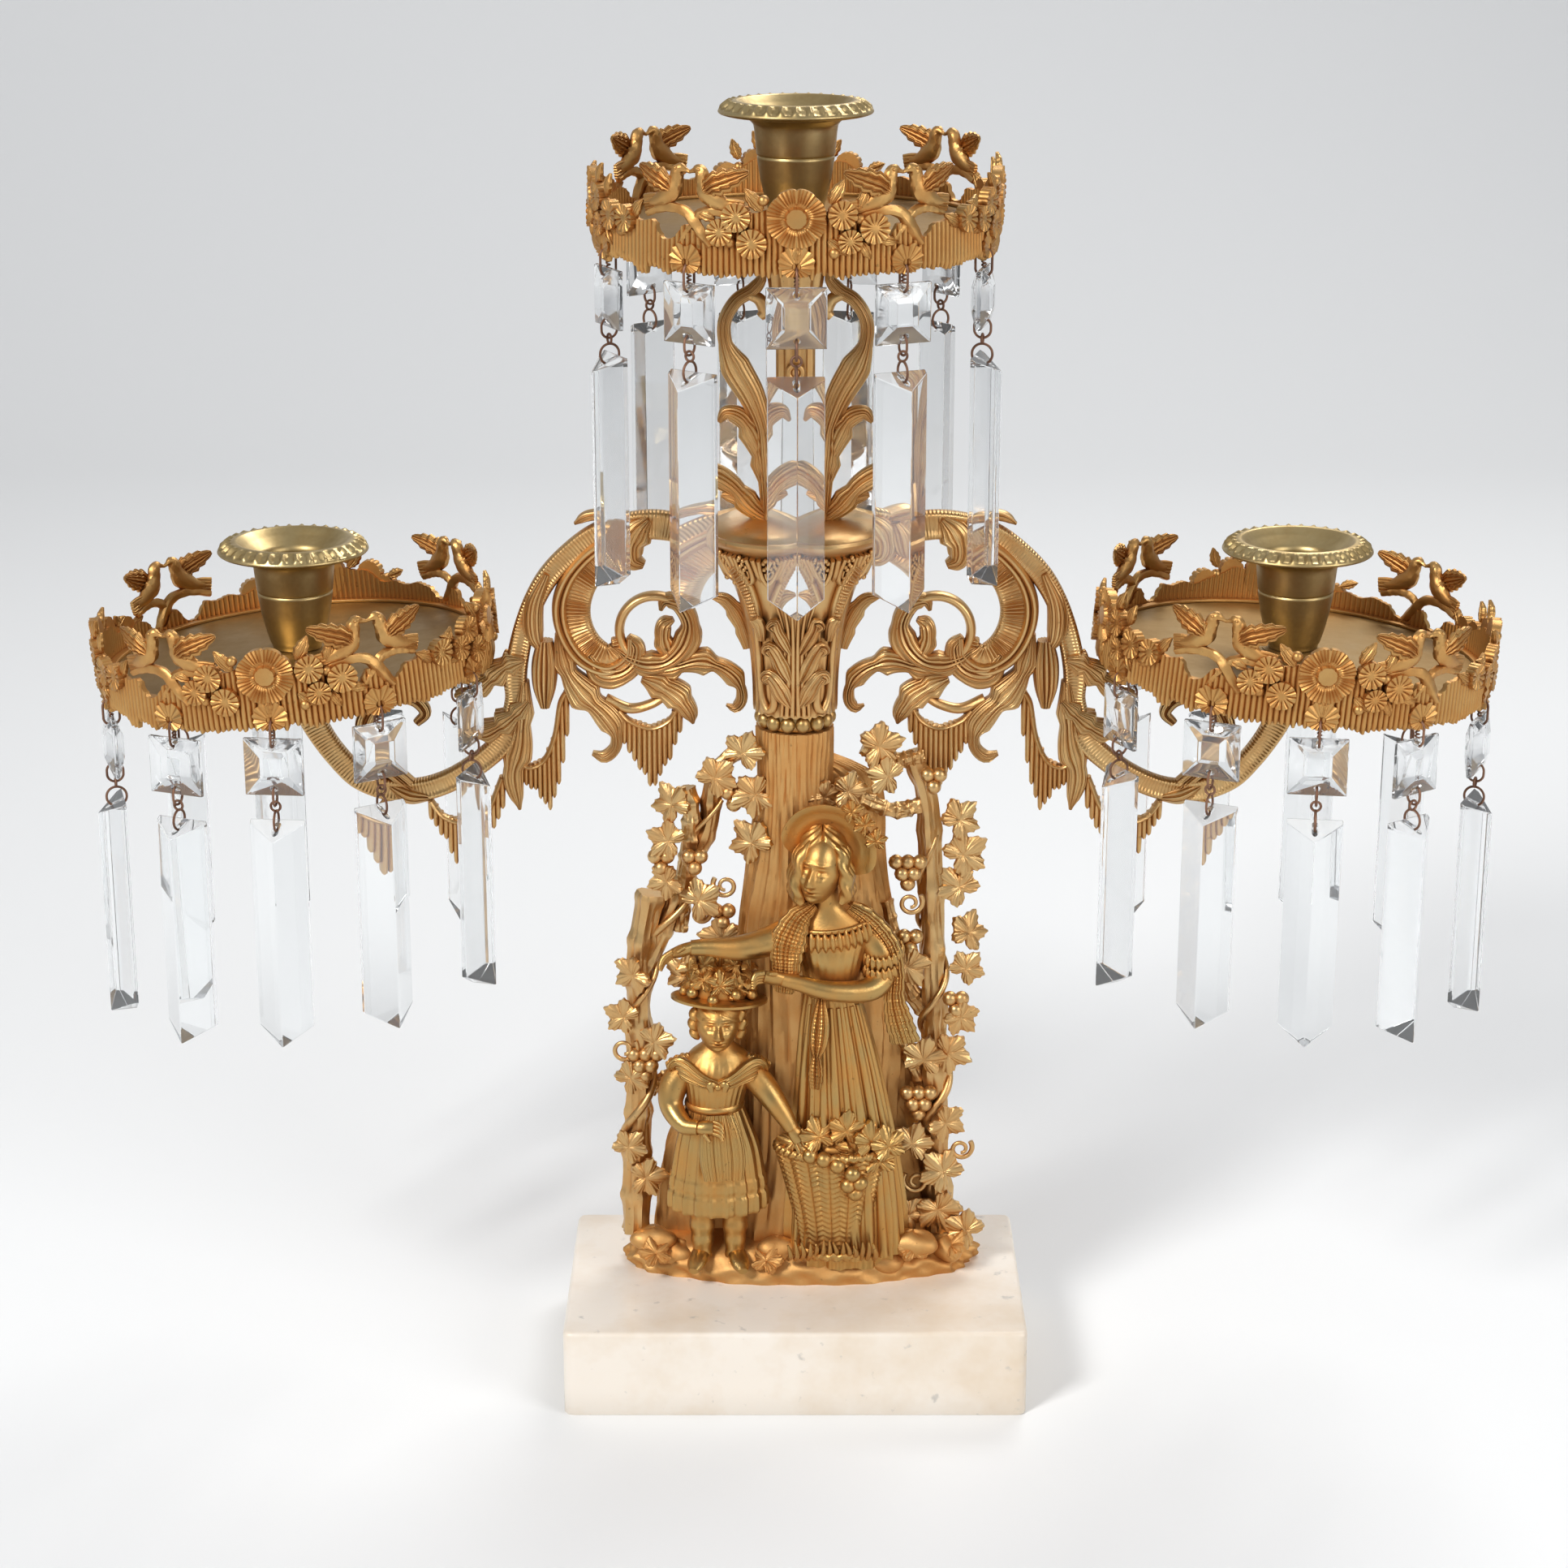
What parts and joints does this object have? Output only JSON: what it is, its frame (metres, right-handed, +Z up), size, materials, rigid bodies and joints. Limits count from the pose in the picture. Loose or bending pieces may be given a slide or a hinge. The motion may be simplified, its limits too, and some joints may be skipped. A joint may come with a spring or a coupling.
{
  "type": "girandole candle holder",
  "caption": "Table girandole with a marble plinth, a gilt figural column and scrolled arms that carry candle cups, pierced galleries and swinging glass drops.",
  "frame": {"origin": "on the stem axis at the plinth's underside", "axes": "+Z up, +X to the right of a viewer in front, the front faces -Y"},
  "size_m": [0.4512, 0.1334, 0.4217],
  "materials": {
    "marble": "honed marble, cream with tan stains",
    "gilt": "aged matte gilding with brass highlights",
    "cup_brass": "rubbed lacquered brass",
    "steel": "dull steel",
    "glass": "cut clear glass on brown wire"
  },
  "bodies": {
    "stand": {"marble_plinth": "marble", "plinth_washer": "steel", "plinth_nut": "steel", "tie_rod": "steel", "figure_column": "gilt", "beaded_collar": "cup_brass", "urn": "gilt", "arm_left": "gilt", "arm_right": "gilt", "candle_stem": "gilt", "leaf_spray": "gilt", "cup_studs": "steel", "drip_plate_top": "gilt", "drip_plate_left": "gilt", "drip_plate_right": "gilt", "gallery_top": "gilt", "gallery_left": "gilt", "gallery_right": "gilt", "candle_cup_top": "cup_brass", "candle_cup_left": "cup_brass", "candle_cup_right": "cup_brass"},
    "pendant_top_1_body": {"pendant_top_1": "glass"},
    "pendant_top_2_body": {"pendant_top_2": "glass"},
    "pendant_top_3_body": {"pendant_top_3": "glass"},
    "pendant_top_4_body": {"pendant_top_4": "glass"},
    "pendant_top_5_body": {"pendant_top_5": "glass"},
    "pendant_top_6_body": {"pendant_top_6": "glass"},
    "pendant_top_7_body": {"pendant_top_7": "glass"},
    "pendant_top_8_body": {"pendant_top_8": "glass"},
    "pendant_top_9_body": {"pendant_top_9": "glass"},
    "pendant_left_1_body": {"pendant_left_1": "glass"},
    "pendant_left_2_body": {"pendant_left_2": "glass"},
    "pendant_left_3_body": {"pendant_left_3": "glass"},
    "pendant_left_4_body": {"pendant_left_4": "glass"},
    "pendant_left_5_body": {"pendant_left_5": "glass"},
    "pendant_left_6_body": {"pendant_left_6": "glass"},
    "pendant_left_7_body": {"pendant_left_7": "glass"},
    "pendant_left_8_body": {"pendant_left_8": "glass"},
    "pendant_left_9_body": {"pendant_left_9": "glass"},
    "pendant_right_1_body": {"pendant_right_1": "glass"},
    "pendant_right_2_body": {"pendant_right_2": "glass"},
    "pendant_right_3_body": {"pendant_right_3": "glass"},
    "pendant_right_4_body": {"pendant_right_4": "glass"},
    "pendant_right_5_body": {"pendant_right_5": "glass"},
    "pendant_right_6_body": {"pendant_right_6": "glass"},
    "pendant_right_7_body": {"pendant_right_7": "glass"},
    "pendant_right_8_body": {"pendant_right_8": "glass"},
    "pendant_right_9_body": {"pendant_right_9": "glass"}
  },
  "joints": [
    {"name": "swing_top_1", "type": "hinge", "parent": "stand", "child": "pendant_top_1_body", "pos_m": [-0.01807, 0.0591, 0.3795], "axis": [0.9563, 0.2924, 0], "range_deg": [-4, 20]},
    {"name": "swing_top_2", "type": "hinge", "parent": "stand", "child": "pendant_top_2_body", "pos_m": [-0.04734, 0.03972, 0.3795], "axis": [0.6428, 0.766, 0], "range_deg": [-4, 20]},
    {"name": "swing_top_3", "type": "hinge", "parent": "stand", "child": "pendant_top_3_body", "pos_m": [-0.0573, -0.02315, 0.3795], "axis": [-0.3746, 0.9272, 0], "range_deg": [-4, 20]},
    {"name": "swing_top_4", "type": "hinge", "parent": "stand", "child": "pendant_top_4_body", "pos_m": [-0.03183, -0.05297, 0.3795], "axis": [-0.8572, 0.515, 0], "range_deg": [-4, 20]},
    {"name": "swing_top_5", "type": "hinge", "parent": "stand", "child": "pendant_top_5_body", "pos_m": [0, -0.0618, 0.3795], "axis": [-1, 0, 0], "range_deg": [-4, 20]},
    {"name": "swing_top_6", "type": "hinge", "parent": "stand", "child": "pendant_top_6_body", "pos_m": [0.03183, -0.05297, 0.3795], "axis": [-0.8572, -0.515, 0], "range_deg": [-4, 20]},
    {"name": "swing_top_7", "type": "hinge", "parent": "stand", "child": "pendant_top_7_body", "pos_m": [0.0573, -0.02315, 0.3795], "axis": [-0.3746, -0.9272, 0], "range_deg": [-4, 20]},
    {"name": "swing_top_8", "type": "hinge", "parent": "stand", "child": "pendant_top_8_body", "pos_m": [0.04734, 0.03972, 0.3795], "axis": [0.6428, -0.766, 0], "range_deg": [-4, 20]},
    {"name": "swing_top_9", "type": "hinge", "parent": "stand", "child": "pendant_top_9_body", "pos_m": [0.01807, 0.0591, 0.3795], "axis": [0.9563, -0.2924, 0], "range_deg": [-4, 20]},
    {"name": "swing_left_1", "type": "hinge", "parent": "stand", "child": "pendant_left_1_body", "pos_m": [-0.17865, 0.0591, 0.2396], "axis": [0.9563, 0.2924, 0], "range_deg": [-4, 20]},
    {"name": "swing_left_2", "type": "hinge", "parent": "stand", "child": "pendant_left_2_body", "pos_m": [-0.20783, 0.03972, 0.2373], "axis": [0.6428, 0.766, 0], "range_deg": [-4, 20]},
    {"name": "swing_left_3", "type": "hinge", "parent": "stand", "child": "pendant_left_3_body", "pos_m": [-0.21776, -0.02315, 0.23652], "axis": [-0.3746, 0.9272, 0], "range_deg": [-4, 20]},
    {"name": "swing_left_4", "type": "hinge", "parent": "stand", "child": "pendant_left_4_body", "pos_m": [-0.19237, -0.05297, 0.23852], "axis": [-0.8572, 0.515, 0], "range_deg": [-4, 20]},
    {"name": "swing_left_5", "type": "hinge", "parent": "stand", "child": "pendant_left_5_body", "pos_m": [-0.16064, -0.0618, 0.24101], "axis": [-1, 0, 0], "range_deg": [-4, 20]},
    {"name": "swing_left_6", "type": "hinge", "parent": "stand", "child": "pendant_left_6_body", "pos_m": [-0.12891, -0.05297, 0.24351], "axis": [-0.8572, -0.515, 0], "range_deg": [-4, 20]},
    {"name": "swing_left_7", "type": "hinge", "parent": "stand", "child": "pendant_left_7_body", "pos_m": [-0.10352, -0.02315, 0.24551], "axis": [-0.3746, -0.9272, 0], "range_deg": [-4, 20]},
    {"name": "swing_left_8", "type": "hinge", "parent": "stand", "child": "pendant_left_8_body", "pos_m": [-0.11344, 0.03972, 0.24473], "axis": [0.6428, -0.766, 0], "range_deg": [-4, 20]},
    {"name": "swing_left_9", "type": "hinge", "parent": "stand", "child": "pendant_left_9_body", "pos_m": [-0.14263, 0.0591, 0.24243], "axis": [0.9563, -0.2924, 0], "range_deg": [-4, 20]},
    {"name": "swing_right_1", "type": "hinge", "parent": "stand", "child": "pendant_right_1_body", "pos_m": [0.14263, 0.0591, 0.24243], "axis": [0.9563, 0.2924, 0], "range_deg": [-4, 20]},
    {"name": "swing_right_2", "type": "hinge", "parent": "stand", "child": "pendant_right_2_body", "pos_m": [0.11344, 0.03972, 0.24473], "axis": [0.6428, 0.766, 0], "range_deg": [-4, 20]},
    {"name": "swing_right_3", "type": "hinge", "parent": "stand", "child": "pendant_right_3_body", "pos_m": [0.10352, -0.02315, 0.24551], "axis": [-0.3746, 0.9272, 0], "range_deg": [-4, 20]},
    {"name": "swing_right_4", "type": "hinge", "parent": "stand", "child": "pendant_right_4_body", "pos_m": [0.12891, -0.05297, 0.24351], "axis": [-0.8572, 0.515, 0], "range_deg": [-4, 20]},
    {"name": "swing_right_5", "type": "hinge", "parent": "stand", "child": "pendant_right_5_body", "pos_m": [0.16064, -0.0618, 0.24101], "axis": [-1, 0, 0], "range_deg": [-4, 20]},
    {"name": "swing_right_6", "type": "hinge", "parent": "stand", "child": "pendant_right_6_body", "pos_m": [0.19237, -0.05297, 0.23852], "axis": [-0.8572, -0.515, 0], "range_deg": [-4, 20]},
    {"name": "swing_right_7", "type": "hinge", "parent": "stand", "child": "pendant_right_7_body", "pos_m": [0.21776, -0.02315, 0.23652], "axis": [-0.3746, -0.9272, 0], "range_deg": [-4, 20]},
    {"name": "swing_right_8", "type": "hinge", "parent": "stand", "child": "pendant_right_8_body", "pos_m": [0.20783, 0.03972, 0.2373], "axis": [0.6428, -0.766, 0], "range_deg": [-4, 20]},
    {"name": "swing_right_9", "type": "hinge", "parent": "stand", "child": "pendant_right_9_body", "pos_m": [0.17865, 0.0591, 0.2396], "axis": [0.9563, -0.2924, 0], "range_deg": [-4, 20]}
  ]
}
